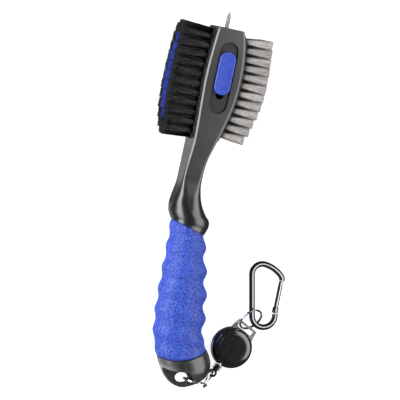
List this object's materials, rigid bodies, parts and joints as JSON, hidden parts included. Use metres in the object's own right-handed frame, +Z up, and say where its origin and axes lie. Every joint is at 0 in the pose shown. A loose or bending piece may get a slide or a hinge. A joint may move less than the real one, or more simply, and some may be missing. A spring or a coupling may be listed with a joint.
{
  "type": "club groove brush",
  "caption": "Two-sided golf club brush with nylon and wire bristles, a slide-out groove spike, a finger grip, and a cord reel with a snap hook on split rings.",
  "frame": {"origin": "middle of the outline seen from above, on the surface that the brush lies on", "axes": "+Y along the spike from the butt to the tip, +X towards the wire bristles, +Z up out of the surface, towards the spike's button"},
  "size_m": [0.1273, 0.2836, 0.0315],
  "materials": {
    "body": "satin",
    "grip": "matte",
    "button": "satin",
    "black_nylon": "satin",
    "blue_nylon": "satin",
    "wire": "satin",
    "steel": "satin",
    "chrome": "polished",
    "nickel": "satin",
    "reel_case": "gloss",
    "fitting": "gloss",
    "cord": "matte",
    "anodised": "gloss",
    "gate_metal": "polished"
  },
  "bodies": {
    "brush": {"brush_body": "body", "grip_sleeve": "grip", "nylon_plate": "body", "wire_plate": "body", "nylon_rim_tufts": "black_nylon", "nylon_centre_tufts_1": "blue_nylon", "nylon_centre_tufts_2": "blue_nylon", "nylon_centre_tufts_3": "blue_nylon", "wire_tufts_1": "wire", "wire_tufts_2": "wire", "wire_tufts_3": "wire", "wire_tufts_4": "wire", "wire_tufts_5": "wire", "spike_bush": "steel", "click_spring": "steel"},
    "spike": {"slide_button": "button", "spike_carrier": "body", "spike_pin": "steel"},
    "split_ring": {"butt_split_ring": "chrome"},
    "link": {"link_ring": "chrome"},
    "cord_fitting": {"cord_end_fitting": "fitting", "pull_cord": "cord"},
    "reel": {"reel_back_cover": "reel_case", "reel_front_cover": "reel_case", "reel_bracket": "nickel", "exit_eyelet": "nickel", "reel_axle": "steel", "reel_spring": "steel"},
    "spool": {"reel_spool": "body", "cord_winding": "cord"},
    "hook_ring": {"bracket_ring": "chrome"},
    "carabiner": {"carabiner_frame": "anodised", "gate_pin": "gate_metal", "latch_pin": "gate_metal"},
    "gate": {"carabiner_gate": "gate_metal", "gate_plunger": "steel", "gate_spring": "steel"}
  },
  "joints": [
    {"name": "spike_slide", "type": "slide", "parent": "brush", "child": "spike", "axis": [0, 1, 0], "range_m": [-0.0133, 0], "deforming": ["click_spring"]},
    {"name": "split_ring_swing", "type": "hinge", "parent": "brush", "child": "split_ring", "pos_m": [-0.00102, -0.1355, 0.015], "axis": [0, 0, 1], "range_deg": [-60, 0]},
    {"name": "link_ring_swing", "type": "hinge", "parent": "split_ring", "child": "link", "pos_m": [0.01728, -0.13742, 0.015], "axis": [0, 0, 1], "range_deg": [-40, 3]},
    {"name": "fitting_swing", "type": "hinge", "parent": "link", "child": "cord_fitting", "pos_m": [0.02257, -0.12828, 0.0061], "axis": [0, 0, 1], "range_deg": [-40, 8]},
    {"name": "cord_pull", "type": "slide", "parent": "cord_fitting", "child": "reel", "axis": [0.4462, 0.8949, 0], "range_m": [0, 0.6], "stiffness_N_per_m": 0.8, "springref_m": -0.35, "deforming": ["pull_cord"]},
    {"name": "spool_spin", "type": "hinge", "parent": "reel", "child": "spool", "pos_m": [0.03328, -0.1068, 0.006], "axis": [0, 0, 1], "range_deg": [0, 4100]},
    {"name": "hook_ring_swing", "type": "hinge", "parent": "reel", "child": "hook_ring", "pos_m": [0.0422, -0.0889, 0.0045], "axis": [0.8949, -0.4462, 0], "range_deg": [0, 50]},
    {"name": "carabiner_swing", "type": "hinge", "parent": "hook_ring", "child": "carabiner", "pos_m": [0.04838, -0.0852, 0.0045], "axis": [0, 0, 1], "range_deg": [-30, 30]},
    {"name": "gate_open", "type": "hinge", "parent": "carabiner", "child": "gate", "pos_m": [0.06098, -0.07327, 0.0035], "axis": [0, 0.0419, 0.9991], "range_deg": [0, 24], "stiffness_Nm_per_rad": 0.004, "springref_deg": -34.38}
  ],
  "couplings": [
    {"joint": "spool_spin", "follows": "cord_pull", "rad_per_m": 119}
  ]
}
